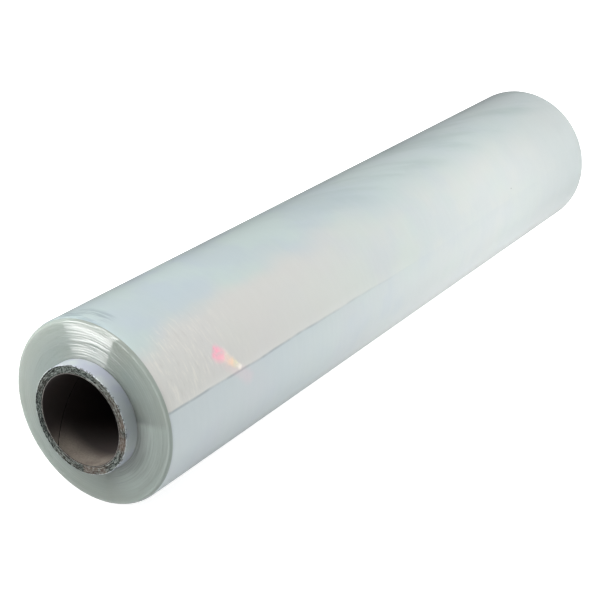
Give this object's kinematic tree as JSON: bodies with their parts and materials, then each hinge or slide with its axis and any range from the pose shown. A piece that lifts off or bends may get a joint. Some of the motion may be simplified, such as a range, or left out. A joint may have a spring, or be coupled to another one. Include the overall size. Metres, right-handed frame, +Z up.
{
  "type": "stretch wrap roll",
  "caption": "Roll of clear stretch wrap film wound on a paper core that stands out at both ends, lying on its side.",
  "frame": {"origin": "on the ground, under the middle of the roll", "axes": "+X along the core from the near end to the far end, +Z up"},
  "size_m": [0.517, 0.1028, 0.1024],
  "materials": {
    "film": "clear clinging film, many turns deep, milky and glossy",
    "core": "grey-brown board with a white outer ply"
  },
  "bodies": {
    "root": {"film_roll": "film", "core_tube": "core"}
  },
  "joints": []
}
